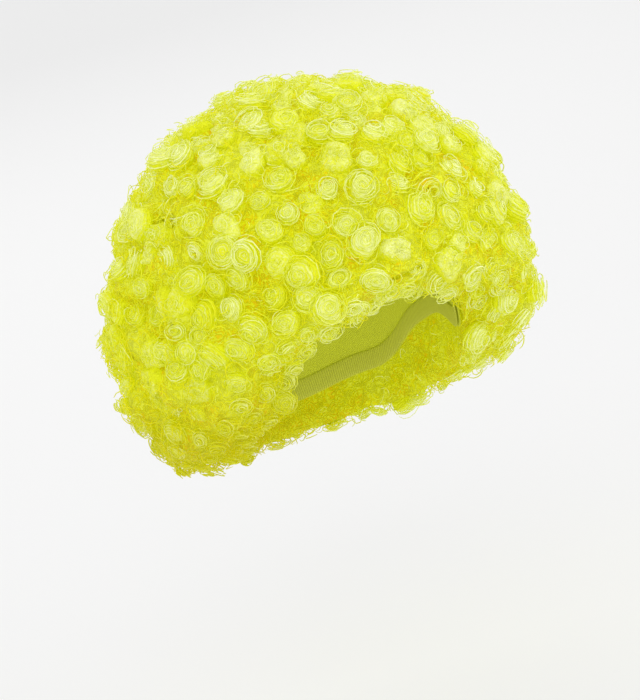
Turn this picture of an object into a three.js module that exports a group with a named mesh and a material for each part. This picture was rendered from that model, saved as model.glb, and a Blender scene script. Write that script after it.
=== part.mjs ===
// A big round clown wig: a stretch cap with an elastic edge band, and rows of curled fibre sewn
// round it from the crown whorl to the hem. Millimetres, +Z up, the wearer faces -Y and +X is the
// wearer's left. The origin is the inside of the cap at the crown, where the head bears.
import * as THREE from 'three';
import { mergeVertices } from 'three/addons/utils/BufferGeometryUtils.js';

// Head space inside the cap
const headWidth = 158;
const headLength = 198;
const crownToTemple = 92; // from the crown down to the level where the head is widest
const napeReach = 150; // how slowly the cap draws in below that level

// Cap and its edge band
const capWall = 2;
const capDrop = 160; // from the crown down to the cap's edge at the nape
const bandWidth = 10;
const bandThickness = 1.5;
const bandClearance = 0.4;
const capRoundSteps = 36;
const capDownSteps = 7;

// Round mass of hair
const hairWidth = 294;
const hairLength = 301;
const hairHeight = 299; // of the whole round, most of which shows above the hem
const hairAboveCrown = 61;
const hairDrop = 185; // from the crown down to the lowest curls at the nape
const hemShare = 0.34; // thickness of the hair at its hem, as a share of its full thickness
const hemRoundness = 6; // higher keeps the round full for longer before it turns under at the hem
const hairClearance = 1.4; // between the cap and the hair

// Rows of locks
const rowCount = 7; // rows between the crown whorl and the hem
const crownShare = 0.14; // part of the way from crown to hem that the crown whorl takes
const rowClearance = 0.006; // between two rows, as a share of the way from crown to hem
const lockSpacing = 48; // round the hair, which the nearest of the lock counts comes closest to
const lockCounts = [6, 9, 12, 18]; // each divides azimuthSteps by a whole number
const lockHeight = 11; // how far a lock stands out of the row's backing
const lockVariation = 0.18; // of the lock's height
const lockFullness = 2.6; // 2 gives round locks, more gives fuller ones
const azimuthSteps = 72;

// Edge of the cap and hem of the hair, from the front (0 degrees) round to the nape (180), as
// shares of capDrop and hairDrop
const edgeTable = [
  { azimuth: 0, cap: 0.36, inside: 0.4, outside: 0.39 },
  { azimuth: 28, cap: 0.42, inside: 0.47, outside: 0.44 },
  { azimuth: 44, cap: 0.52, inside: 0.54, outside: 0.55 },
  { azimuth: 58, cap: 0.74, inside: 0.73, outside: 0.71 },
  { azimuth: 72, cap: 0.78, inside: 0.76, outside: 0.82 },
  { azimuth: 88, cap: 0.71, inside: 0.82, outside: 0.89 },
  { azimuth: 104, cap: 0.76, inside: 0.9, outside: 0.95 },
  { azimuth: 130, cap: 0.94, inside: 0.95, outside: 0.97 },
  { azimuth: 180, cap: 1, inside: 0.98, outside: 1 },
];

// Shallow dents in the round: where they lie, in degrees, their depth as a share of the hair's
// size, and how wide they spread, in degrees
const dentTable = [
  { azimuth: -119, elevation: 25, depth: 0.045, spread: 22 },
  { azimuth: 63, elevation: -15, depth: 0.04, spread: 24 },
  { azimuth: 150, elevation: 10, depth: 0.03, spread: 26 },
  { azimuth: -40, elevation: 62, depth: 0.015, spread: 20 },
];

// Where the sections cross a lock, from one side (-1) to the other (1)
const lockSections = [-1, -0.55, 0, 0.55, 1];

// The whorl: a middle lock as a share of the whorl's reach, and where its sections lie
const middleLock = 0.38;
const whorlSections = [0, 0.14, 0.3, 0.38, 0.52, 0.7, 0.88, 1];

const ballCentre = hairAboveCrown - hairHeight / 2;
const hairFloor = capWall + hairClearance;
const backingDepth = 1 - lockHeight / (hairAboveCrown - hairFloor);

// One column of the edge table at an azimuth, eased between its rows
function alongEdge(column, azimuth) {
  const turn = THREE.MathUtils.radToDeg(azimuth) % 360;
  const fromFront = Math.min(turn, 360 - turn);
  const next = Math.max(1, edgeTable.findIndex((row) => row.azimuth >= fromFront));
  const [before, after] = [edgeTable[next - 1], edgeTable[next]];
  const share = THREE.MathUtils.smoothstep(fromFront, before.azimuth, after.azimuth);
  return THREE.MathUtils.lerp(before[column], after[column], share);
}

function direction(azimuth, elevation) {
  return new THREE.Vector3(
    Math.cos(elevation) * Math.sin(azimuth),
    -Math.cos(elevation) * Math.cos(azimuth),
    Math.sin(elevation),
  );
}

// A point on the head's surface grown outwards, at an angle down from the crown
function headPoint(azimuth, angle, grow) {
  const height = (angle < Math.PI / 2 ? crownToTemple : napeReach) + grow;
  return direction(azimuth, Math.PI / 2 - angle)
    .multiply(new THREE.Vector3(headWidth / 2 + grow, headLength / 2 + grow, height))
    .add(new THREE.Vector3(0, 0, -crownToTemple));
}

// The angle at which the head's surface has come down by a drop
function headAngle(drop) {
  const height = drop < crownToTemple ? crownToTemple : napeReach;
  return Math.acos((crownToTemple - drop) / height);
}

const dents = dentTable.map(({ azimuth, elevation, depth, spread }) => ({
  towards: direction(THREE.MathUtils.degToRad(azimuth), THREE.MathUtils.degToRad(elevation)),
  depth,
  spread: THREE.MathUtils.degToRad(spread),
}));

// A point on the round outside of the hair, at an angle down from its top
function ballPoint(azimuth, angle) {
  const towards = direction(azimuth, Math.PI / 2 - angle);
  let size = 1;
  for (const dent of dents) {
    size -= dent.depth * Math.exp(-((towards.angleTo(dent.towards) / dent.spread) ** 2));
  }
  return towards
    .multiply(new THREE.Vector3(hairWidth / 2, hairLength / 2, hairHeight / 2))
    .multiplyScalar(size)
    .add(new THREE.Vector3(0, 0, ballCentre));
}

function ballAngle(drop) {
  return Math.acos((-drop - ballCentre) / (hairHeight / 2));
}

// A point in the hair: way runs from the crown (0) to the hem (1), depth from the cap (0) to the
// outside (1)
function hairPoint(azimuth, way, depth) {
  const insideAngle = headAngle(alongEdge('inside', azimuth) * hairDrop);
  const outsideAngle = ballAngle(alongEdge('outside', azimuth) * hairDrop);
  const inside = headPoint(azimuth, way * insideAngle, hairFloor);
  const outside = ballPoint(azimuth, way * outsideAngle);
  const turned = (1 - way ** hemRoundness) ** (1 / hemRoundness);
  const thickness = hemShare + (1 - hemShare) * turned;
  return inside.lerp(outside, depth * thickness);
}

// A closed body swept round Z, from a function that gives its closed section at each step
function ringGeometry(section, steps = azimuthSteps) {
  const rings = Array.from({ length: steps }, (_, step) => section((step / steps) * 2 * Math.PI, step));
  const positions = [];
  rings.forEach((ring, step) => {
    const nextRing = rings[(step + 1) % steps];
    ring.forEach((a, i) => {
      const b = ring[(i + 1) % ring.length];
      const c = nextRing[(i + 1) % ring.length];
      const d = nextRing[i];
      const corners = a.distanceTo(c) < b.distanceTo(d) ? [a, c, b, a, d, c] : [a, d, b, d, c, b];
      corners.forEach((corner) => positions.push(...corner));
    });
  });
  return closedGeometry(positions);
}

// Triangles joined at their corners, without those that have no area
function closedGeometry(positions) {
  const loose = new THREE.BufferGeometry();
  loose.setAttribute('position', new THREE.Float32BufferAttribute(positions, 3));
  const joined = mergeVertices(loose, 1e-3);
  const kept = [];
  for (let i = 0; i < joined.index.count; i += 3) {
    const corners = [0, 1, 2].map((k) => joined.index.getX(i + k));
    if (new Set(corners).size === 3) kept.push(...corners);
  }
  joined.setIndex(kept);
  joined.computeVertexNormals();
  return joined;
}

// Cap and edge band

// The angles down from the crown of the cap's edge and of the edge band's upper side
function edgeAngles(azimuth) {
  const edge = headAngle(alongEdge('cap', azimuth) * capDrop);
  return { edge, bandTop: edge - bandWidth / (headLength / 2) };
}

function capSection(azimuth) {
  const { edge, bandTop } = edgeAngles(azimuth);
  const angles = Array.from({ length: capDownSteps + 1 }, (_, i) => (bandTop * i) / capDownSteps);
  angles.push(edge);
  const inside = angles.map((angle) => headPoint(azimuth, angle, 0));
  const outside = angles.map((angle) => headPoint(azimuth, angle, capWall));
  return [...inside, ...outside.reverse()];
}

function bandSection(azimuth) {
  const { edge, bandTop } = edgeAngles(azimuth);
  const [outer, inner] = [-bandClearance, -bandClearance - bandThickness];
  return [
    headPoint(azimuth, bandTop, inner),
    headPoint(azimuth, edge, inner),
    headPoint(azimuth, edge, outer),
    headPoint(azimuth, bandTop, outer),
  ];
}

// Hair rows

// The distance round the hair's outside at one way
function girth(way) {
  const points = Array.from({ length: azimuthSteps }, (_, i) =>
    hairPoint((i / azimuthSteps) * 2 * Math.PI, way, 1),
  );
  return points.reduce((sum, point, i) => sum + point.distanceTo(points[(i + 1) % azimuthSteps]), 0);
}

// A number from -1 to 1 that is the same on every run, to vary the locks
function variation(seed) {
  const value = Math.sin(seed * 12.9898) * 43758.5453;
  return 2 * (value - Math.floor(value)) - 1;
}

// A rounded rise, 1 in the middle and 0 at either side (-1 and 1)
function rise(across) {
  return Math.sqrt(Math.max(0, 1 - Math.abs(across) ** lockFullness));
}

function nearestLockCount(way) {
  const wanted = girth(way) / lockSpacing;
  return lockCounts.reduce((best, count) =>
    Math.abs(count - wanted) < Math.abs(best - wanted) ? count : best,
  );
}

// Where a step lies in its lock, from -1 to 1, and which lock it is. Odd rows are set half a lock
// round, so that each lock lies over the gap between two.
function lockAt(step, count, index) {
  const stepsPerLock = azimuthSteps / count;
  const shifted = step + (index % 2 ? Math.floor(stepsPerLock / 2) : 0);
  const across = (2 * (shifted % stepsPerLock)) / stepsPerLock - 1;
  const lock = Math.floor(shifted / stepsPerLock) % count;
  return { across, seed: index * azimuthSteps + lock };
}

function lockDepth(height, seed) {
  return backingDepth + (1 - backingDepth) * height * (1 + lockVariation * variation(seed));
}

// One row of locks in one body with its backing
function hairRow(index) {
  const pitch = (1 - crownShare) / rowCount;
  const start = crownShare + (index - 1) * pitch + rowClearance / 2;
  const end = crownShare + index * pitch - (index === rowCount ? 0 : rowClearance / 2);
  const count = nearestLockCount((start + end) / 2);
  return ringGeometry((azimuth, step) => {
    const { across, seed } = lockAt(step, count, index);
    const outside = lockSections.map((down) => {
      const way = THREE.MathUtils.lerp(start, end, (down + 1) / 2);
      return hairPoint(azimuth, way, lockDepth(rise(across) * rise(down), seed));
    });
    return [hairPoint(azimuth, start, 0), hairPoint(azimuth, end, 0), ...outside.reverse()];
  });
}

// The whorl: one lock on the crown and a ring of locks round it
function whorl() {
  const end = crownShare - rowClearance / 2;
  const count = lockCounts[0];
  return ringGeometry((azimuth, step) => {
    const { across, seed } = lockAt(step, count, 0);
    const outside = whorlSections.map((share) => {
      if (share < middleLock) {
        return hairPoint(azimuth, share * end, lockDepth(rise(share / middleLock), count));
      }
      const down = (2 * (share - middleLock)) / (1 - middleLock) - 1;
      return hairPoint(azimuth, share * end, lockDepth(rise(across) * rise(down), seed));
    });
    return [hairPoint(azimuth, 0, 0), hairPoint(azimuth, end, 0), ...outside.reverse()];
  });
}

// Materials

const fibre = new THREE.MeshStandardMaterial({ color: 0xd9df3d, roughness: 0.55, metalness: 0 });
const stretchKnit = new THREE.MeshStandardMaterial({ color: 0xd2d63a, roughness: 0.85, metalness: 0 });
const elastic = new THREE.MeshStandardMaterial({ color: 0xcdd044, roughness: 0.75, metalness: 0 });

// Assembly

const wig = new THREE.Group();
wig.name = 'clown_wig';

function addPiece(name, geometry, material) {
  const piece = new THREE.Mesh(geometry, material);
  piece.name = name;
  wig.add(piece);
}

addPiece('cap', ringGeometry(capSection, capRoundSteps), stretchKnit);
addPiece('edge_band', ringGeometry(bandSection, capRoundSteps), elastic);
addPiece('crown_whorl', whorl(), fibre);
for (let index = 1; index <= rowCount; index++) {
  addPiece(`curl_row_${index}`, hairRow(index), fibre);
}

export default wig;
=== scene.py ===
"""A big round clown wig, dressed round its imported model: stretch cap, elastic edge band, rows of
frizzed fibre with ringlets sewn into them, and stray fibres. Metres, +Z up, the wearer faces -Y."""

import math

import bpy
import numpy as np
from mathutils import Matrix, Vector, kdtree, noise


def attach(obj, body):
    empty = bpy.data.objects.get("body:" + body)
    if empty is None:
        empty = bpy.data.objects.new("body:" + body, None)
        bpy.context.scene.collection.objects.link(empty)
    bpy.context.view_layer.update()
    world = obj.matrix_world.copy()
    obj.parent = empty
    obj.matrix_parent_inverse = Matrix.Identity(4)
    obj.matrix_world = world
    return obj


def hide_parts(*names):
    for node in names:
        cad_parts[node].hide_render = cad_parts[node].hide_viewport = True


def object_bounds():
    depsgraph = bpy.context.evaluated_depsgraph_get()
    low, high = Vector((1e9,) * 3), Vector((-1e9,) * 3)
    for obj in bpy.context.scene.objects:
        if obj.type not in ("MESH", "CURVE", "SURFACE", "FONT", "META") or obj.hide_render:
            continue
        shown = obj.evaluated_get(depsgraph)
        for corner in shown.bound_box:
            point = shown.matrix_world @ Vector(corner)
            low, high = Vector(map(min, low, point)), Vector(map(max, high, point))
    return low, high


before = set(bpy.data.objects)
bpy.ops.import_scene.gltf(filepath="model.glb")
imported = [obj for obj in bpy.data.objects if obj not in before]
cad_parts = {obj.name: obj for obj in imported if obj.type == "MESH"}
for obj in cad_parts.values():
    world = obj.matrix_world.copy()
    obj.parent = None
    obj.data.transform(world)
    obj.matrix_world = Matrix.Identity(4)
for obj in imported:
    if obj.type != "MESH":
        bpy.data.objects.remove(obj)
cad_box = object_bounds()


# Camera. It looks a little down at the wig's front, from the wearer's right, and the wig
# leans towards the left of the picture.

IMAGE_WIDTH = 640
IMAGE_HEIGHT = 700
LOOK_AT = Vector((0, 0, -0.095))
LOOK_AT_PIXEL = (327, 317.7)
PIXELS_PER_METRE = 1550
CAMERA_DISTANCE = 1.2
CAMERA_AZIMUTH = math.radians(-22.5)
CAMERA_ELEVATION = math.radians(9)
HEAD_LEAN = math.radians(15)

camera = bpy.data.objects.new("camera", bpy.data.cameras.new("camera"))
bpy.context.collection.objects.link(camera)
towards_camera = Vector((
    math.sin(CAMERA_AZIMUTH) * math.cos(CAMERA_ELEVATION),
    -math.cos(CAMERA_AZIMUTH) * math.cos(CAMERA_ELEVATION),
    math.sin(CAMERA_ELEVATION),
))
level_right = Vector((math.cos(CAMERA_AZIMUTH), math.sin(CAMERA_AZIMUTH), 0))
level_up = towards_camera.cross(level_right)
picture_right = level_right * math.cos(HEAD_LEAN) - level_up * math.sin(HEAD_LEAN)
picture_up = towards_camera.cross(picture_right)
turn = Matrix((picture_right, picture_up, towards_camera)).transposed()
camera.matrix_world = Matrix.Translation(LOOK_AT + towards_camera * CAMERA_DISTANCE) @ turn.to_4x4()
camera.data.lens = PIXELS_PER_METRE * CAMERA_DISTANCE / IMAGE_HEIGHT * camera.data.sensor_width
camera.data.shift_x = (IMAGE_WIDTH / 2 - LOOK_AT_PIXEL[0]) / IMAGE_HEIGHT
camera.data.shift_y = (LOOK_AT_PIXEL[1] - IMAGE_HEIGHT / 2) / IMAGE_HEIGHT
bpy.context.scene.camera = camera


# Stretch cap. A thin knitted dome that the rows of fibre are sewn to, dyed to match them. Inside it
# shows the fine ribs of the knit.

CAP_COLOUR = (0.78, 0.83, 0.06, 1)
CAP_SHADE = (0.60, 0.63, 0.025, 1)
KNIT_WALE = 0.0020
KNIT_COURSE = 0.0014
HEAD_RADIUS = 0.09
# The knit glow is a painted glow on the cap and band, which keeps their insides from going dark in shade.
KNIT_GLOW = 0.07
MERGE_DISTANCE = 0.00001
QUAD_BEND = math.radians(60)
QUAD_SKEW = math.radians(80)


class Socket:
    """An output socket whose sums are written as Python expressions."""

    def __init__(self, tree, output):
        self.tree = tree
        self.output = output

    def math(self, operation, *values):
        return node(self.tree, "ShaderNodeMath", {"operation": operation}, dict(enumerate(values)))

    def __add__(self, other):
        return self.math("ADD", self, other)

    def __sub__(self, other):
        return self.math("SUBTRACT", self, other)

    def __rsub__(self, other):
        return self.math("SUBTRACT", other, self)

    def __mul__(self, other):
        return self.math("MULTIPLY", self, other)


def node(tree, kind, settings, sockets, output=0):
    """Any node: its settings are set first, then its sockets are given values or links."""
    made = tree.nodes.new(kind)
    for name, value in settings.items():
        if name == "stops":
            ramp = made.color_ramp
            while len(ramp.elements) < len(value):
                ramp.elements.new(0.5)
            for element, (position, colour) in zip(ramp.elements, value):
                element.position = position
                element.color = colour
        else:
            setattr(made, name, value)
    for name, value in sockets.items():
        if isinstance(value, Socket):
            tree.links.new(value.output, made.inputs[name])
        else:
            made.inputs[name].default_value = value
    return Socket(tree, made.outputs[output])


def mix_colours(tree, share, first, second):
    return node(tree, "ShaderNodeMix", {"data_type": "RGBA"}, {0: share, 6: first, 7: second}, 2)


def new_material(name):
    material = bpy.data.materials.new(name)
    material.use_nodes = True
    return material, material.node_tree, material.node_tree.nodes["Principled BSDF"]


def object_coordinates(tree):
    return node(tree, "ShaderNodeTexCoord", {}, {}, "Object")


def knit_material():
    material, tree, shader = new_material("stretch knit")
    place = object_coordinates(tree)
    parts = tree.nodes.new("ShaderNodeSeparateXYZ")
    tree.links.new(place.output, parts.inputs[0])
    x, y, z = (Socket(tree, parts.outputs[i]) for i in range(3))
    around = x.math("ARCTAN2", x, y)
    wale = x.math("SINE", around * round(2 * math.pi * HEAD_RADIUS / KNIT_WALE))
    course = z.math("SINE", z * (2 * math.pi / KNIT_COURSE))
    loops = wale * course
    blotches = node(tree, "ShaderNodeTexNoise", {}, {"Vector": place, "Scale": 40.0, "Detail": 4.0})
    shade = blotches * 0.5 + loops * 0.12 + 0.3
    colour = mix_colours(tree, shade, CAP_SHADE, CAP_COLOUR)
    tree.links.new(colour.output, shader.inputs["Base Color"])
    bump = node(tree, "ShaderNodeBump", {}, {"Strength": 0.5, "Distance": 0.0004, "Height": loops})
    tree.links.new(bump.output, shader.inputs["Normal"])
    shader.inputs["Roughness"].default_value = 0.85
    # The emission is a painted glow that lightens the knit's shade.
    shader.inputs["Emission Color"].default_value = CAP_COLOUR
    shader.inputs["Emission Strength"].default_value = KNIT_GLOW
    return material


def smooth_copy(name, node_name, levels):
    """A CAD node's mesh as quads with its corners rounded by subdivision."""
    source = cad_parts[node_name]
    piece = source.copy()
    piece.data = source.data.copy()
    piece.name = name
    piece.data.materials.clear()
    bpy.context.collection.objects.link(piece)
    bpy.ops.object.select_all(action="DESELECT")
    piece.select_set(True)
    bpy.context.view_layer.objects.active = piece
    bpy.ops.object.mode_set(mode="EDIT")
    bpy.ops.mesh.select_all(action="SELECT")
    bpy.ops.mesh.remove_doubles(threshold=MERGE_DISTANCE)
    bpy.ops.mesh.tris_convert_to_quads(face_threshold=QUAD_BEND, shape_threshold=QUAD_SKEW)
    bpy.ops.object.mode_set(mode="OBJECT")
    rounding = piece.modifiers.new("rounding", "SUBSURF")
    rounding.levels = levels
    rounding.render_levels = levels
    bpy.ops.object.modifier_apply(modifier=rounding.name)
    bpy.ops.object.shade_smooth()
    return piece


cap = smooth_copy("stretch_cap", "cap", 2)
cap.data.materials.append(knit_material())
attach(cap, "root")
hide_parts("cap")


# Edge band. A ribbed elastic tape stitched inside the cap's edge, which grips the head.

BAND_COLOUR = (0.70, 0.73, 0.09, 1)
# Painted shade: the grooves between the elastic's ribs are coloured darker than the ribs.
BAND_GROOVE_SHADE = (0.46, 0.47, 0.03, 1)
BAND_RIB_PITCH = 0.0016


def elastic_material():
    material, tree, shader = new_material("ribbed elastic")
    place = object_coordinates(tree)
    parts = tree.nodes.new("ShaderNodeSeparateXYZ")
    tree.links.new(place.output, parts.inputs[0])
    x, y, z = (Socket(tree, parts.outputs[i]) for i in range(3))
    around = x.math("ARCTAN2", x, y)
    ribs_round = round(2 * math.pi * HEAD_RADIUS / BAND_RIB_PITCH)
    rib = x.math("SINE", around * ribs_round) * 0.5 + 0.5
    threads = node(tree, "ShaderNodeTexNoise", {}, {"Vector": place, "Scale": 900.0, "Detail": 2.0})
    # Painted shade in the grooves between the ribs.
    colour = mix_colours(tree, rib * 0.7 + threads * 0.3, BAND_GROOVE_SHADE, BAND_COLOUR)
    tree.links.new(colour.output, shader.inputs["Base Color"])
    height = rib + threads * 0.3
    bump = node(tree, "ShaderNodeBump", {}, {"Strength": 0.6, "Distance": 0.0004, "Height": height})
    tree.links.new(bump.output, shader.inputs["Normal"])
    shader.inputs["Roughness"].default_value = 0.75
    # The emission is a painted glow that lightens the band's shade.
    shader.inputs["Emission Color"].default_value = BAND_COLOUR
    shader.inputs["Emission Strength"].default_value = KNIT_GLOW
    return material


band = smooth_copy("elastic_edge_band", "edge_band", 2)
band.data.materials.append(elastic_material())
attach(band, "root")
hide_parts("edge_band")


# Frizz. Under the ringlets the fibre of all the rows tangles into one dense mass, which shows
# between them and fills the hem. It is the rows' solids swollen together, smoothed and drawn in.

HAIR_NODES = ["crown_whorl"] + sorted(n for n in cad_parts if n.startswith("curl_row_"))
MASS_SWELL = 0.003
MASS_INSET = 0.0030
MASS_VOXEL = 0.0038
MASS_SMOOTHING = 20
LINING_GROWTH = 0.0012
LUMP_HEIGHT = 0.004
LUMP_SIZE = 0.014
CLUMP_HEIGHT = 0.0075
CLUMPS_AROUND = 3.4
CLUMPS_DOWN = 1.7
CLUMP_PLACE = Vector((25.61, 21.02, 28.27))
STREAK_WEIGHT = 1.5
BLOT_WEIGHT = 0.8
BLOTS_PER_RADIUS = 4.5
FACING_MIDDLE = 0.5
FACING_SLOPE = 1.5
FRIZZ_DEEP = (0.68, 0.38, 0.001, 1)
FRIZZ_MIDDLE = (0.66, 0.68, 0.001, 1)
FRIZZ_PALE = (0.70, 0.75, 0.09, 1)
# The fibre glow is a painted glow: the fibre gives off light of its own, which lifts its shade.
FIBRE_GLOW_COLOUR = (0.96, 1.0, 0.0, 1)
FIBRE_GLOW = 0.22
FIBRE_SHINE = 0.2
FRIZZ_ROUGHNESS = 0.6
ARCS_PER_CELL = 28.0
# Painted shade: fibre low at the hem on the wearer's right, the side away from the light, is tinted
# darker.
HEM_SHADE_FROM = -0.095
HEM_SHADE_DEPTH = 0.05
HEM_SHADE_SIDE = 0.04
HEM_SHADE_TINT = (0.83, 0.76, 0.45, 1)


def finish_fibre(tree, shader, colour, roughness):
    """Every fibre gives off a painted yellow glow, so its shade stays yellow. The fibre low at the hem on
    the wearer's right is painted darker, as painted shade."""
    parts = tree.nodes.new("ShaderNodeSeparateXYZ")
    tree.links.new(object_coordinates(tree).output, parts.inputs[0])
    x, z = (Socket(tree, parts.outputs[i]) for i in (0, 2))
    hem_end = HEM_SHADE_FROM - HEM_SHADE_DEPTH
    low_down = node(tree, "ShaderNodeMapRange", {}, {0: z, 1: HEM_SHADE_FROM, 2: hem_end, 3: 0.0, 4: 1.0})
    on_right = node(tree, "ShaderNodeMapRange", {},
                    {0: x, 1: HEM_SHADE_SIDE, 2: -HEM_SHADE_SIDE, 3: 0.0, 4: 1.0})
    # Painted shade: the colour is multiplied by a dark tint low at the hem on the wearer's right.
    hem_shaded = node(tree, "ShaderNodeMix", {"data_type": "RGBA", "blend_type": "MULTIPLY"},
                {0: low_down * on_right, 6: colour, 7: HEM_SHADE_TINT}, 2)
    tree.links.new(hem_shaded.output, shader.inputs["Base Color"])
    # The emission is a painted glow.
    shader.inputs["Emission Color"].default_value = FIBRE_GLOW_COLOUR
    shader.inputs["Emission Strength"].default_value = FIBRE_GLOW
    shader.inputs["Roughness"].default_value = roughness
    shader.inputs["Specular IOR Level"].default_value = FIBRE_SHINE


def frizz_material():
    material, tree, shader = new_material("frizzed fibre")
    place = object_coordinates(tree)
    tangle = node(tree, "ShaderNodeTexNoise", {},
                  {"Vector": place, "Scale": 330.0, "Detail": 3.0, "Distortion": 2.5})
    patches = node(tree, "ShaderNodeTexNoise", {}, {"Vector": place, "Scale": 55.0, "Detail": 3.0})
    warp = node(tree, "ShaderNodeTexNoise", {}, {"Vector": place, "Scale": 90.0}, 1)
    warped = node(tree, "ShaderNodeVectorMath", {"operation": "MULTIPLY_ADD"},
                  {0: warp, 1: (0.02, 0.02, 0.02), 2: place})
    rings = node(tree, "ShaderNodeTexVoronoi", {"feature": "F1"}, {"Vector": warped, "Scale": 130.0})
    arcs = rings.math("SINE", rings * ARCS_PER_CELL) * 0.5 + 0.5
    shade = patches * 0.7 + tangle * 0.35 + arcs * 0.25 - 0.15
    colour = node(tree, "ShaderNodeValToRGB",
                  {"stops": [(0.26, FRIZZ_DEEP), (0.44, FRIZZ_MIDDLE), (0.78, FRIZZ_PALE)]}, {0: shade})
    height = tangle + arcs * 0.7
    bump = node(tree, "ShaderNodeBump", {}, {"Strength": 0.9, "Distance": 0.0012, "Height": height})
    tree.links.new(bump.output, shader.inputs["Normal"])
    finish_fibre(tree, shader, colour, FRIZZ_ROUGHNESS)
    return material


def push(piece, distance, texture=None, group=""):
    """Moves a piece's surface along its normals, evenly or by a texture about its middle grey."""
    modifier = piece.modifiers.new("push", "DISPLACE")
    modifier.strength = distance
    modifier.mid_level = 0.0
    modifier.vertex_group = group
    if texture:
        modifier.texture = texture
        modifier.texture_coords = "LOCAL"
        modifier.mid_level = 0.5
    bpy.ops.object.modifier_apply(modifier=modifier.name)


low, high = (np.array(corner) for corner in cad_box)
round_centre = Vector((0, 0, high[2] - (high[0] - low[0]) / 2))


def clump(point):
    """How far the fibre is fluffed up, -1 to 1: in streaks that run out and down from the crown."""
    direction = (Vector(point) - round_centre).normalized()
    around = math.atan2(direction.y, direction.x)
    down = math.acos(direction.z)
    streak = noise.noise(CLUMP_PLACE + Vector((math.cos(around) * CLUMPS_AROUND,
                                               math.sin(around) * CLUMPS_AROUND, down * CLUMPS_DOWN)))
    blot = noise.noise(CLUMP_PLACE + direction * BLOTS_PER_RADIUS)
    return max(-1, min(1, STREAK_WEIGHT * streak + BLOT_WEIGHT * blot))


def faces_out(vertex):
    """How much a vertex of the mass belongs to its outer side: over 1 outside, under 0 inside."""
    facing = vertex.normal.dot((vertex.co - round_centre).normalized())
    return FACING_MIDDLE + FACING_SLOPE * facing


def faces_in(vertex):
    facing = vertex.normal.dot((vertex.co - round_centre).normalized())
    return -FACING_MIDDLE - FACING_SLOPE * facing


def weigh(piece, name, weight):
    """A vertex group whose weights a function of the vertex gives."""
    group = piece.vertex_groups.new(name=name)
    for vertex in piece.data.vertices:
        group.add([vertex.index], min(1, max(0, weight(vertex))), "REPLACE")
    return group.name


bpy.ops.object.select_all(action="DESELECT")
for name in HAIR_NODES:
    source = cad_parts[name]
    frizz = source.copy()
    frizz.data = source.data.copy()
    bpy.context.collection.objects.link(frizz)
    frizz.select_set(True)
bpy.context.view_layer.objects.active = frizz
bpy.ops.object.join()
frizz.name = "frizz"
frizz.data.materials.clear()
bpy.ops.object.mode_set(mode="EDIT")
bpy.ops.mesh.select_all(action="SELECT")
bpy.ops.mesh.remove_doubles(threshold=MERGE_DISTANCE)
bpy.ops.object.mode_set(mode="OBJECT")
push(frizz, MASS_SWELL)
remesh = frizz.modifiers.new("remesh", "REMESH")
remesh.mode = "VOXEL"
remesh.voxel_size = MASS_VOXEL
bpy.ops.object.modifier_apply(modifier=remesh.name)
smooth = frizz.modifiers.new("smooth", "SMOOTH")
smooth.iterations = MASS_SMOOTHING
bpy.ops.object.modifier_apply(modifier=smooth.name)
push(frizz, -MASS_SWELL)
outer = weigh(frizz, "outer", faces_out)
inner = weigh(frizz, "inner", faces_in)
raised = weigh(frizz, "raised", lambda v: min(1, faces_out(v)) * (0.5 + 0.5 * clump(v.co)))
push(frizz, -MASS_INSET - CLUMP_HEIGHT / 2, group=outer)
push(frizz, CLUMP_HEIGHT, group=raised)
push(frizz, LINING_GROWTH, group=inner)
lumps = bpy.data.textures.new("frizz lumps", "CLOUDS")
lumps.noise_scale = LUMP_SIZE
lumps.noise_depth = 2
push(frizz, LUMP_HEIGHT, lumps)
bpy.ops.object.shade_smooth()
frizz.data.materials.append(frizz_material())
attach(frizz, "root")
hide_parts(*HAIR_NODES)


# Ringlets. Fine crimped fibre set in tight ringlets that stand out all round and show their ends as
# rosettes. Each is a dense bud of fibre, with strands that coil round it and stray a little.

RINGLET_SPACING = 0.0148
RINGLET_RADIUS = 0.0094
RINGLET_STAND = 0.0062
RIM_SPACING = 0.0130
OPEN_SHARE = 0.12
STRAND_RADIUS = 0.0004
STRANDS_AT_TIP = 14
STRANDS_BELOW = 2
STRAND_STEPS = 8
BUD_SIDES = 12
BUD_PROFILE = [(0.0, -0.10), (0.18, -0.06), (0.38, 0.0), (0.64, -0.07), (0.86, -0.30), (0.98, -0.8),
               (0.7, -1.1), (0.0, -1.15)]
BUD_WAVES = ((3, 0.09, 40), (2, 0.07, 90))
BUD_SHARE = 0.88
FRIZZY_PATCHES = 26.0
FRIZZY_SHARE = 0.24
FRIZZY_CONTRAST = 1.6
BRUSHED_SIDE = (-0.6, 0.3, 0.74)
BRUSHED_FRIZZ = 0.6
FOAM_CONTRAST = 1.6
FOAM_FROM = 0.5
# Painted shade: ringlets on the side that faces this way, away from the light, get a deeper colour.
SHADED_SIDE = (-0.92, 0.36, -0.15)
SHADED_SIDE_FROM = 0.5
SHADED_SIDE_WIDTH = 0.4
CAP_MARGIN = 0.009
random = np.random.default_rng(13)


def unit(vectors):
    return vectors / np.linalg.norm(vectors, axis=-1, keepdims=True)


def triangles(mesh):
    """A mesh's triangles as an array of corners, with their normals and areas."""
    mesh.calc_loop_triangles()
    points = np.empty(len(mesh.vertices) * 3)
    mesh.vertices.foreach_get("co", points)
    index = np.empty(len(mesh.loop_triangles) * 3, dtype=np.int32)
    mesh.loop_triangles.foreach_get("vertices", index)
    corners = points.reshape(-1, 3)[index].reshape(-1, 3, 3)
    cross = np.cross(corners[:, 1] - corners[:, 0], corners[:, 2] - corners[:, 0])
    length = np.linalg.norm(cross, axis=1)
    return corners, cross / length[:, None], length / 2


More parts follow.
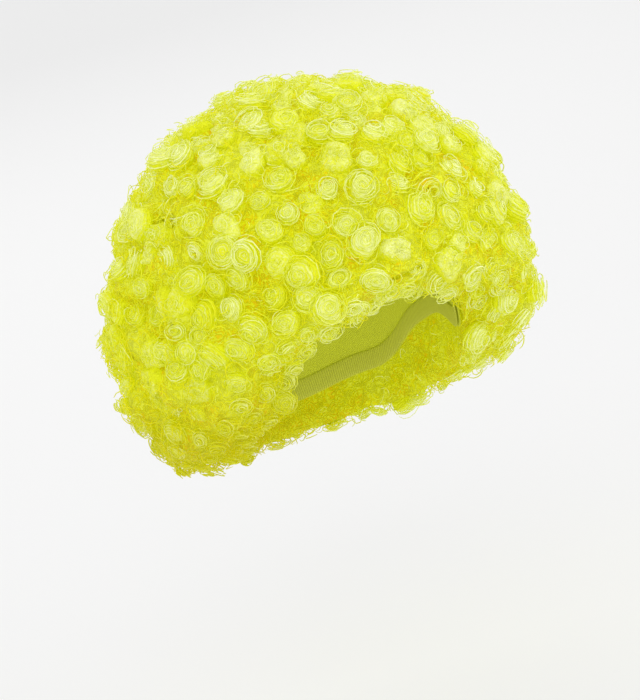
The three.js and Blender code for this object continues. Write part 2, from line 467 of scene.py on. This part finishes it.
def painted_shade(points):
    """How much painted shade deepens the fibre's colour, 0 to 1: at the hem on the wearer's right and on
    the side that gets less light.
    """
    hem = np.clip((HEM_SHADE_FROM - points[:, 2]) / HEM_SHADE_DEPTH, 0, 1)
    hem = hem * np.clip((HEM_SHADE_SIDE - points[:, 0]) / (2 * HEM_SHADE_SIDE), 0, 1)
    side = (unit(points - np.array(round_centre)) @ unit(np.array(SHADED_SIDE)) - SHADED_SIDE_FROM) / SHADED_SIDE_WIDTH
    return np.clip(np.maximum(hem, side), 0, 1)


corners, face_normals, areas = triangles(frizz.data)
middles = corners.mean(axis=1)


def random_points(wanted, count):
    """Points spread at random over the frizz where wanted is true, with their normals."""
    weights = areas * wanted
    picked = random.choice(len(areas), size=count, p=weights / weights.sum())
    share = random.random((count, 2))
    over = share.sum(axis=1) > 1
    share[over] = 1 - share[over]
    edges = corners[picked, 1:] - corners[picked, :1]
    points = corners[picked, 0] + share[:, :1] * edges[:, 0] + share[:, 1:] * edges[:, 1]
    return points, face_normals[picked]


def spaced(points, spacing):
    """The points, in their order, that keep their spacing from those before them."""
    kept = []
    taken = {}
    reach = max(spacing)
    for number, (point, gap) in enumerate(zip(points, spacing)):
        cell = np.floor(point / reach).astype(int)
        near = [other for offset in np.ndindex(3, 3, 3)
                for other in taken.get(tuple(cell + offset - 1), ())]
        if all(np.sum((point - other) ** 2) > gap ** 2 for other in near):
            taken.setdefault(tuple(cell), []).append(point)
            kept.append(number)
    return kept


rows = [(Vector(v.co), name) for name in HAIR_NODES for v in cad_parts[name].data.vertices]
nearest_row = kdtree.KDTree(len(rows))
for number, (point, name) in enumerate(rows):
    nearest_row.insert(point, number)
nearest_row.balance()


def row_of(points):
    return np.array([rows[nearest_row.find(Vector(point))[1]][1] for point in points])


def mesh_piece(name, points, quads, ends, values):
    """One mesh from arrays, smooth all over, with each value stored on its points."""
    mesh = bpy.data.meshes.new(name)
    mesh.vertices.add(len(points))
    mesh.vertices.foreach_set("co", points.ravel())
    loops = np.concatenate([quads.ravel(), ends.ravel()])
    mesh.loops.add(len(loops))
    mesh.loops.foreach_set("vertex_index", loops.astype(np.int32))
    sizes = np.concatenate([np.full(len(quads), 4), np.full(len(ends), 3)])
    mesh.polygons.add(len(sizes))
    starts = np.concatenate([[0], np.cumsum(sizes)[:-1]])
    mesh.polygons.foreach_set("loop_start", starts.astype(np.int32))
    mesh.polygons.foreach_set("use_smooth", np.ones(len(sizes), dtype=bool))
    mesh.update(calc_edges=True)
    for value_name, value in values.items():
        stored = mesh.attributes.new(value_name, "FLOAT", "POINT")
        stored.data.foreach_set("value", value.astype(np.float32).ravel())
    mesh.validate()
    piece = bpy.data.objects.new(name, mesh)
    bpy.context.collection.objects.link(piece)
    return piece


STRAND_CORNERS = (math.pi / 2, math.pi * 7 / 6, math.pi * 11 / 6)
TAPER_FROM = 0.35
TAPER_RISE = 0.65
TAPER_SPAN = (0.04, 0.96)


def strands(name, paths, side, radius, values):
    """One mesh of three-sided strands along paths of equal length, thinner at both ends."""
    count, steps = paths.shape[:2]
    along = unit(np.gradient(paths, axis=1))
    across = unit(np.cross(along, side))
    lift = np.cross(across, along)
    taper = TAPER_FROM + TAPER_RISE * np.sin(np.linspace(*TAPER_SPAN, steps) * math.pi) ** 0.5
    wide = (radius[:, None] * taper)[..., None]
    rim = [paths + wide * (across * math.cos(a) + lift * math.sin(a)) for a in STRAND_CORNERS]
    points = np.stack(rim, axis=2).reshape(-1, 3)
    index = np.arange(count * steps * 3).reshape(count, steps, 3)
    turned = np.roll(index, -1, axis=2)
    walls = np.stack([index[:, :-1], turned[:, :-1], turned[:, 1:], index[:, 1:]], axis=-1).reshape(-1, 4)
    ends = np.concatenate([index[:, 0, ::-1], index[:, -1]])
    spread = {key: np.broadcast_to(value.reshape(count, -1)[:, :, None], (count, steps, 3))
              for key, value in values.items()}
    return mesh_piece(name, points, walls, ends, spread)


FOAM_SWELL = 0.12
FOAM_BUMPS = 0.16
FOAM_DENTS = 0.06


def buds(name, centres, axis, first, second, size, squash, tone, foam):
    """One mesh of dense rosettes: each is a low dome with a dimple in its middle, closed below, and
    bumpy where the ringlet is brushed out."""
    count = len(centres)
    angles = np.arange(BUD_SIDES) * 2 * math.pi / BUD_SIDES
    inner = BUD_PROFILE[1:-1]
    rings = []
    for out, up in inner:
        wave = 1
        for sides, height, turn in BUD_WAVES:
            wave = wave + height * np.sin(sides * angles[None] + tone[:, None] * turn)
        wave = out * wave
        wave = wave * (1 + random.normal(FOAM_SWELL, FOAM_BUMPS, wave.shape) * foam[:, None])
        up = up + random.normal(0, FOAM_DENTS, wave.shape + (1,)) * foam[:, None, None]
        flat = (np.cos(angles) * wave)[..., None] * first[:, None] + (
            np.sin(angles) * wave * squash[:, None])[..., None] * second[:, None]
        rings.append(centres[:, None] + size[:, None, None] * (flat + up * axis[:, None]))
    sides = np.stack(rings, axis=1).reshape(count, -1, 3)
    poles = [(centres + size[:, None] * up * axis)[:, None] for _, up in (BUD_PROFILE[0], BUD_PROFILE[-1])]
    points = np.concatenate([sides] + poles, axis=1)
    per_bud = points.shape[1]
    base = (np.arange(count) * per_bud)[:, None, None]
    ring_start = np.arange(len(inner))[:-1, None] * BUD_SIDES
    ring = ring_start + np.arange(BUD_SIDES)[None]
    ring_next = ring_start + (np.arange(BUD_SIDES) + 1)[None] % BUD_SIDES
    walls = np.stack([ring, ring + BUD_SIDES, ring_next + BUD_SIDES, ring_next], axis=-1)
    walls = walls.reshape(1, -1, 4) + base
    first_ring = np.arange(BUD_SIDES)
    last_ring = first_ring + (len(inner) - 1) * BUD_SIDES
    following = (first_ring + 1) % BUD_SIDES
    top = np.stack([first_ring, following, np.full(BUD_SIDES, per_bud - 2)], axis=-1)
    bottom = np.stack([following + last_ring[0], last_ring, np.full(BUD_SIDES, per_bud - 1)], axis=-1)
    ends = np.concatenate([top, bottom])[None] + base
    steps = np.linalg.norm(np.diff(BUD_PROFILE, axis=0), axis=1).cumsum()
    wound = np.concatenate([np.repeat(steps[:-1], BUD_SIDES), [0, steps[-1]]])
    values = {"wound": np.broadcast_to(wound, (count, per_bud)),
              "tone": np.broadcast_to(tone[:, None], (count, per_bud)),
              "foam": np.broadcast_to(foam[:, None], (count, per_bud))}
    return mesh_piece(name, points.reshape(-1, 3), walls.reshape(-1, 4), ends.reshape(-1, 3), values)


def frames(axis):
    """Two directions square to each axis, turned at random round it."""
    aside = unit(np.cross(axis, unit(random.normal(size=axis.shape))))
    return aside, np.cross(axis, aside)


FIRST_LOOP = 1.4
HOLLOW_REACH = (0.62, 0.4)
FULL_REACH = (0.16, 0.86)
REACH_SPREAD = 0.09
FOAM_SHRINK = 0.5
TIP_DOME = 0.40
TIP_RISE = 0.1
COIL_PITCH = 0.33
DROP_SPREAD = 0.09
LOOP_TURNS = (0.55, 0.95)
START_SPREAD = 1.8
LOOP_WIDTH = 1.05
LOOP_CLOSING = 0.14
LOOP_PITCH = 0.0016
SQUASH_SPREAD = 0.08
TILT_SPREAD = 0.5
HIGHEST_LOOP = 0.2
OFFSET_NEAT = 0.05
OFFSET_MESSY = 0.15
FOAM_SCATTER = 0.34
FOAM_SINK = 0.12
COIL_SHADE_DEPTH = 1.3
TIP_PALE = 0.62
TIP_TONE = 0.58


def coils(centres, axis, first, second, size, squash, mess, hollow, tone, foam):
    """The strands of every ringlet: loops that lie on its end, and wider ones of the coil below.
    A hollow ringlet has its loops near its rim, and a brushed-out one has small ones all over."""
    count = len(centres)
    hand = random.choice([-1.0, 1.0], count)
    start = random.uniform(0, 2 * math.pi, count)
    along = np.linspace(0, 1, STRAND_STEPS + 1)
    paths, sides, tips = [], [], []
    for strand in range(STRANDS_AT_TIP + STRANDS_BELOW):
        share = min(1.0, (strand + FIRST_LOOP) / STRANDS_AT_TIP)
        level = max(0, strand - STRANDS_AT_TIP + 1)
        reach = np.where(hollow, HOLLOW_REACH[0] + HOLLOW_REACH[1] * share,
                         FULL_REACH[0] + FULL_REACH[1] * share)
        reach = size * reach * random.normal(1, REACH_SPREAD, count)
        reach = reach * (1 - FOAM_SHRINK * foam)
        drop = TIP_DOME * share ** 2.5 - TIP_RISE + COIL_PITCH * level
        drop = size * (drop + random.normal(0, DROP_SPREAD, count))
        sweep = hand * random.uniform(*LOOP_TURNS, count) * 2 * math.pi
        angle = (start + random.normal(0, START_SPREAD, count))[:, None] + sweep[:, None] * along
        radius = reach[:, None] * (LOOP_WIDTH - LOOP_CLOSING * along)
        flat_first = np.cos(angle) * radius
        flat_second = np.sin(angle) * radius * (squash * random.normal(1, SQUASH_SPREAD, count))[:, None]
        tilt = random.normal(0, TILT_SPREAD, (2, count, 1)) * mess[:, None]
        height = tilt[0] * flat_first + tilt[1] * flat_second - drop[:, None] + (along - 0.5) * LOOP_PITCH
        height = np.minimum(height, HIGHEST_LOOP * size[:, None])
        offset = size * (OFFSET_NEAT + OFFSET_MESSY * mess)
        middle = centres + random.normal(0, 1, (count, 3)) * offset[:, None]
        aside = random.normal(0, FOAM_SCATTER, (2, count, 1)) * (size * foam)[:, None]
        middle = middle + aside[0] * first + aside[1] * second - axis * (size * foam * FOAM_SINK)[:, None]
        paths.append(middle[:, None] + flat_first[..., None] * first[:, None]
                     + flat_second[..., None] * second[:, None] + height[..., None] * axis[:, None])
        sides.append(np.broadcast_to(axis[:, None], paths[-1].shape))
        # Painted shade: loops lower down the coil get a deeper colour.
        tips.append(np.clip(1 - np.abs(drop) / (size * COIL_SHADE_DEPTH), 0, 1) * (TIP_PALE + TIP_TONE * tone))
    tones = random.random(sum(len(tip) for tip in tips))
    return np.concatenate(paths), np.concatenate(sides), {"tip": np.concatenate(tips), "tone": tones}


STRAND_DEEP = (0.68, 0.64, 0.002, 1)
STRAND_BODY = (0.66, 0.71, 0.03, 1)
STRAND_PALE = (0.77, 0.82, 0.50, 1)
GLINTS_PER_METRE = 330.0
STRAND_ROUGHNESS = 0.34


def strand_material():
    material, tree, shader = new_material("curled fibre")
    tip = node(tree, "ShaderNodeAttribute", {"attribute_name": "tip"}, {}, 2)
    tone = node(tree, "ShaderNodeAttribute", {"attribute_name": "tone"}, {}, 2)
    place = object_coordinates(tree)
    patches = node(tree, "ShaderNodeTexNoise", {}, {"Vector": place, "Scale": 30.0, "Detail": 2.0})
    fibres = node(tree, "ShaderNodeTexNoise", {}, {"Vector": place, "Scale": 1400.0, "Detail": 2.0})
    # Painted highlights: a noise lays pale glints along the strands.
    glints = node(tree, "ShaderNodeTexNoise", {},
                  {"Vector": place, "Scale": GLINTS_PER_METRE, "Detail": 1.0})
    # The tip value is lowered by painted shade: deep in a coil, at the hem and on the side that gets less
    # light.
    shade = tip * 0.76 + tone * 0.34 + patches * 0.2 + glints * 0.9 - 0.72
    colour = node(tree, "ShaderNodeValToRGB",
                  {"stops": [(0.1, STRAND_DEEP), (0.45, STRAND_BODY), (0.95, STRAND_PALE)]}, {0: shade})
    bump = node(tree, "ShaderNodeBump", {}, {"Strength": 0.4, "Distance": 0.0002, "Height": fibres})
    tree.links.new(bump.output, shader.inputs["Normal"])
    finish_fibre(tree, shader, colour, STRAND_ROUGHNESS)
    return material


RINGS_PER_BUD = 4.2
RING_WANDER = 12.0
RING_START = 20.0
GRAIN_AND_GLINTS_PER_METRE = 420.0
GRAIN_CONTRAST = 2.6
GRAIN_FROM = 0.95
UNDERSIDE_SHADE_FADE = 1.3
UNDERSIDE_SHADE_FROM = 1.05
BUD_ROUGHNESS = 0.5
BUD_DEEP = (0.67, 0.71, 0.012, 1)
BUD_PALE = (0.76, 0.81, 0.42, 1)


def bud_material():
    """Fibre wound in rings about the middle of each bud."""
    material, tree, shader = new_material("wound fibre")
    wound = node(tree, "ShaderNodeAttribute", {"attribute_name": "wound"}, {}, 2)
    tone = node(tree, "ShaderNodeAttribute", {"attribute_name": "tone"}, {}, 2)
    place = object_coordinates(tree)
    stray = node(tree, "ShaderNodeTexNoise", {}, {"Vector": place, "Scale": 240.0, "Detail": 3.0})
    fine = node(tree, "ShaderNodeTexNoise", {}, {"Vector": place, "Scale": 900.0, "Detail": 1.0})
    foam = node(tree, "ShaderNodeAttribute", {"attribute_name": "foam"}, {}, 2)
    grain_and_glints = node(tree, "ShaderNodeTexNoise", {},
                 {"Vector": place, "Scale": GRAIN_AND_GLINTS_PER_METRE, "Detail": 3.0, "Distortion": 2.0})
    turns = wound * (RINGS_PER_BUD * 2 * math.pi) + stray * RING_WANDER + tone * RING_START
    wave = wound.math("SINE", turns)
    ring = (wave * 0.5 + 0.5) * (1 - foam) + (grain_and_glints * GRAIN_CONTRAST - GRAIN_FROM) * foam
    # Painted shade: the bud's lower wall, under its rim, is coloured deeper.
    under = wound.math("MINIMUM", wound * -UNDERSIDE_SHADE_FADE + UNDERSIDE_SHADE_FROM, 0.0)
    # Besides the foam's tangle, the grain noise lays painted glints, pale painted highlights, over every
    # bud.
    shade = ring * 0.6 + tone * 0.5 + fine * 0.3 + grain_and_glints * 0.85 + under - 0.67
    colour = mix_colours(tree, shade, BUD_DEEP, BUD_PALE)
    height = ring + fine * 0.4
    bump = node(tree, "ShaderNodeBump", {}, {"Strength": 0.8, "Distance": 0.0008, "Height": height})
    tree.links.new(bump.output, shader.inputs["Normal"])
    finish_fibre(tree, shader, colour, BUD_ROUGHNESS)
    return material


FACES_OUTWARD = 0.3
FACES_DOWN = -0.5
RIM_FACING = 0.05
RIM_SAMPLE = 4000
OPEN_SAMPLE = 26000
RIM_GAPS = (0.85, 1.65)
OPEN_GAPS = (0.85, 1.35)
DROOP_FROM = 0.3
NORMAL_SHARE = 0.5
RIM_TILT = 0.2
OPEN_TILT = 0.32
BARE_BELOW = -0.45
BARE_OUTWARD = 0.5
SIZE_RANGE = (0.78, 1.24)
FRIZZY_LOSS = 0.22
BARE_LOSS = 0.25
STAND_SPREAD = 0.0013
SQUASH_RANGE = (0.7, 1.0)
TONE_MIDDLE = 0.6
FLUFF_LIGHT_AND_SHADE = 0.5
TONE_SPREAD = 0.24
TONE_LOSS_SHADED = 0.75
TONE_ON_RIM = 0.25
MESS_MIDDLE = 0.2
MESS_SPREAD = 0.12
MESS_LEAST = 0.05
MESS_BY_FRIZZ = 0.75
HOLLOW_BUD_SINK = 0.06
FOAM_BUD_SINK = 0.1
FOAM_BUD_GROWTH = 0.3
FOAM_FINENESS = 0.35
THICKNESS_RANGE = (0.7, 1.2)

cap_points = kdtree.KDTree(len(cap.data.vertices))
for vertex in cap.data.vertices:
    cap_points.insert(vertex.co, vertex.index)
cap_points.balance()
off_cap = np.array([cap_points.find(Vector(middle))[2] for middle in middles]) > CAP_MARGIN
facing = (face_normals * unit(middles - np.array(round_centre))).sum(axis=1)
outside = facing > FACES_OUTWARD
under_hem = (face_normals[:, 2] < FACES_DOWN) & (facing > -FACES_OUTWARD)
inside = (facing <= FACES_OUTWARD) & off_cap
rim = (np.abs(facing - RIM_FACING) < FACES_OUTWARD) & off_cap
rim_sample, rim_normals = random_points(rim, RIM_SAMPLE)
open_sample, open_normals = random_points(outside | under_hem, OPEN_SAMPLE)
sample = np.concatenate([rim_sample, open_sample])
sample_normals = np.concatenate([rim_normals, open_normals])
gaps = np.concatenate([RIM_SPACING * random.uniform(*RIM_GAPS, len(rim_sample)),
                       RINGLET_SPACING * random.uniform(*OPEN_GAPS, len(open_sample))])
kept = spaced(sample, gaps)
on_rim = np.array(kept) < len(rim_sample)
centres, normals = sample[kept], sample_normals[kept]
outward = unit(centres - np.array(round_centre))
below = np.clip(-normals[:, 2:] - DROOP_FROM, 0, 1)
tilt = np.where(on_rim, RIM_TILT, OPEN_TILT)[:, None]
axis = unit(outward + normals * (NORMAL_SHARE + below) + random.normal(0, 1, centres.shape) * tilt)
frizzy = np.array([noise.noise(Vector(centre) * FRIZZY_PATCHES) for centre in centres])
brushed = outward @ unit(np.array(BRUSHED_SIDE))
frizzy = FRIZZY_SHARE + frizzy * FRIZZY_CONTRAST + np.clip(brushed, 0, 1) ** 2 * BRUSHED_FRIZZ
frizzy = np.clip(frizzy, 0, 1) * ~on_rim
foam = np.clip(frizzy * FOAM_CONTRAST - FOAM_FROM, 0, 1)
fluff = np.array([clump(centre) for centre in centres])
bare = (normals[:, 2] < BARE_BELOW) & (outward[:, 2] < BARE_OUTWARD)
size = random.uniform(*SIZE_RANGE, len(centres)) - FRIZZY_LOSS * frizzy - BARE_LOSS * bare
size = RINGLET_RADIUS * size
stand = RINGLET_STAND + (size - RINGLET_RADIUS) * 0.5 + random.normal(0, STAND_SPREAD, len(centres))
centres = centres + axis * stand[:, None]
first, second = frames(axis)
squash = random.uniform(*SQUASH_RANGE, len(centres))
# Painted light and shade: ringlets on the raised clumps of the frizz are paler and those in the valleys
# between them deeper; the rest of the tone is random.
tone = TONE_MIDDLE + FLUFF_LIGHT_AND_SHADE * fluff + random.normal(0, TONE_SPREAD, len(centres))
# Painted shade lowers the tone at the hem and on the side that gets less light.
tone = np.clip(tone - TONE_LOSS_SHADED * painted_shade(centres) + TONE_ON_RIM * on_rim, 0, 1)
mess = np.clip(random.normal(MESS_MIDDLE, MESS_SPREAD, len(centres)), MESS_LEAST, 1)
mess = mess + MESS_BY_FRIZZ * frizzy ** 1.5
hollow = (random.random(len(centres)) < OPEN_SHARE) & ~on_rim
bud_centres = centres - axis * (size * (HOLLOW_BUD_SINK * hollow + FOAM_BUD_SINK * foam))[:, None]
bud_size = size * (BUD_SHARE + FOAM_BUD_GROWTH * foam)
row = row_of(centres)
strand_finish = strand_material()
bud_finish = bud_material()
for name in HAIR_NODES:
    own = row == name
    paths, sides, values = coils(centres[own], axis[own], first[own], second[own], size[own], squash[own],
                                 mess[own], hollow[own], tone[own], foam[own])
    fineness = np.tile(1 - FOAM_FINENESS * foam[own], STRANDS_AT_TIP + STRANDS_BELOW)
    radius = STRAND_RADIUS * random.uniform(*THICKNESS_RANGE, len(paths)) * fineness
    coil = strands(name + "_coils", paths, sides, radius, values)
    coil.data.materials.append(strand_finish)
    full = own & ~bare
    bud = buds(name + "_buds", bud_centres[full], axis[full], first[full], second[full], bud_size[full],
               squash[full], tone[full] * ~hollow[full], foam[full])
    bud.data.materials.append(bud_finish)
    for piece in (coil, bud):
        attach(piece, "root")
        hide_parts(name)


# Stray curls. Loose crimped strands that lie over the frizz between the ringlets, and short arcs that
# stand up between their ends and make the outline fuzzy.

STRAY_COUNT = 4200
STRAY_STEPS = 6
FLYAWAY_COUNT = 3300
STRAY_TILT = 0.5
STRAY_PITCH = 0.003
STRAY_THICKNESS = (0.7, 1.15)
STRAY_LOSS_SHADED = 0.7


def stray_curls(name, wanted, count, reach, turns, lift, thickness, paleness):
    """Arcs that start at random points of the frizz, each with a small pitch of its own."""
    points, normals = random_points(wanted, count)
    axis = unit(normals + random.normal(0, STRAY_TILT, points.shape))
    first, second = frames(axis)
    radius = random.uniform(*reach, count)
    sweep = random.uniform(*turns, count) * 2 * math.pi
    along = np.linspace(0, 1, STRAY_STEPS + 1)
    angle = random.uniform(0, 6, count)[:, None] + sweep[:, None] * along
    lifted = points + normals * random.uniform(*lift, (count, 1))
    paths = lifted[:, None] + radius[:, None, None] * (
        np.cos(angle)[..., None] * first[:, None] + np.sin(angle)[..., None] * second[:, None]) + (
        along[None, :, None] * axis[:, None] * STRAY_PITCH)
    # Painted shade lowers the strays' paleness at the hem and on the side that gets less light.
    pale = random.uniform(*paleness, count) * (1 - STRAY_LOSS_SHADED * painted_shade(points))
    values = {"tip": pale, "tone": random.random(count)}
    piece = strands(name, paths, np.broadcast_to(axis[:, None], paths.shape),
                    thickness * random.uniform(*STRAY_THICKNESS, count), values)
    piece.data.materials.append(strand_finish)
    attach(piece, "root")


stray_curls("stray_curls", outside | under_hem | inside, STRAY_COUNT, reach=(0.0022, 0.0062),
            turns=(0.35, 0.8), lift=(0.0003, 0.0042), thickness=STRAND_RADIUS, paleness=(0.0, 0.85))
stray_curls("flyaway_curls", outside, FLYAWAY_COUNT, reach=(0.0015, 0.0035),
            turns=(0.4, 0.9), lift=(0.0005, 0.0034), thickness=STRAND_RADIUS * 0.65, paleness=(0.1, 0.85))


# Floor and light. A plain pale floor that sweeps up all round, under the wig, which is held up as on
# a head, and soft light from the front, the sides and above.

FLOOR_HEIGHT = -0.34
FLOOR_RADIUS = 0.8
FLOOR_SIDES = 96
SWEEP_RADIUS = 4.0
SWEEP_TOP = 4.6
SWEEP_STEPS = 32
PALE = (0.32, 0.32, 0.32, 1)
PALE_GLOW = 1.75
WORLD_LIGHT = 0.685

bpy.ops.object.select_all(action="DESELECT")
bpy.ops.mesh.primitive_circle_add(vertices=FLOOR_SIDES, radius=FLOOR_RADIUS, fill_type="NGON",
                                  location=(0, 0, FLOOR_HEIGHT))
floor = bpy.context.object
floor.name = "floor"
bpy.ops.object.transform_apply(location=True)
bpy.ops.object.mode_set(mode="EDIT")
bpy.ops.mesh.select_all(action="SELECT")
bpy.ops.mesh.region_to_loop()
reach = FLOOR_RADIUS
height = 0
for step in range(1, SWEEP_STEPS + 2):
    quarter = min(step / SWEEP_STEPS, 1) * math.pi / 2
    next_reach = FLOOR_RADIUS + SWEEP_RADIUS * math.sin(quarter)
    next_height = SWEEP_RADIUS * (1 - math.cos(quarter)) if step <= SWEEP_STEPS else SWEEP_TOP
    bpy.ops.mesh.extrude_edges_move(TRANSFORM_OT_translate={"value": (0, 0, next_height - height)})
    bpy.ops.transform.resize(value=(next_reach / reach, next_reach / reach, 1))
    reach, height = next_reach, next_height
bpy.ops.object.mode_set(mode="OBJECT")
bpy.ops.object.shade_smooth()
floor_finish, floor_tree, floor_shader = new_material("pale floor")
floor_shader.inputs["Base Color"].default_value = PALE
floor_shader.inputs["Roughness"].default_value = 0.9
floor_shader.inputs["Emission Color"].default_value = PALE
floor_shader.inputs["Emission Strength"].default_value = PALE_GLOW
floor.data.materials.append(floor_finish)


def soft_light(name, place, size, power):
    light = bpy.data.objects.new(name, bpy.data.lights.new(name, "AREA"))
    light.data.size = size
    light.data.energy = power
    light.location = place
    light.rotation_euler = (LOOK_AT - Vector(place)).to_track_quat("-Z", "Y").to_euler()
    light.visible_camera = False
    bpy.context.collection.objects.link(light)


soft_light("key", place=(-0.7, -1.7, 1.5), size=1.6, power=13.6)
soft_light("fill", place=(1.7, -1.4, 0.7), size=1.6, power=8.3)
soft_light("back", place=(0.4, 1.8, 1.3), size=1.6, power=10)

world = bpy.data.worlds.new("studio")
bpy.context.scene.world = world
world.use_nodes = True
world.node_tree.nodes["Background"].inputs["Color"].default_value = (1, 1, 1, 1)
world.node_tree.nodes["Background"].inputs["Strength"].default_value = WORLD_LIGHT
bpy.context.scene.view_settings.view_transform = "Standard"
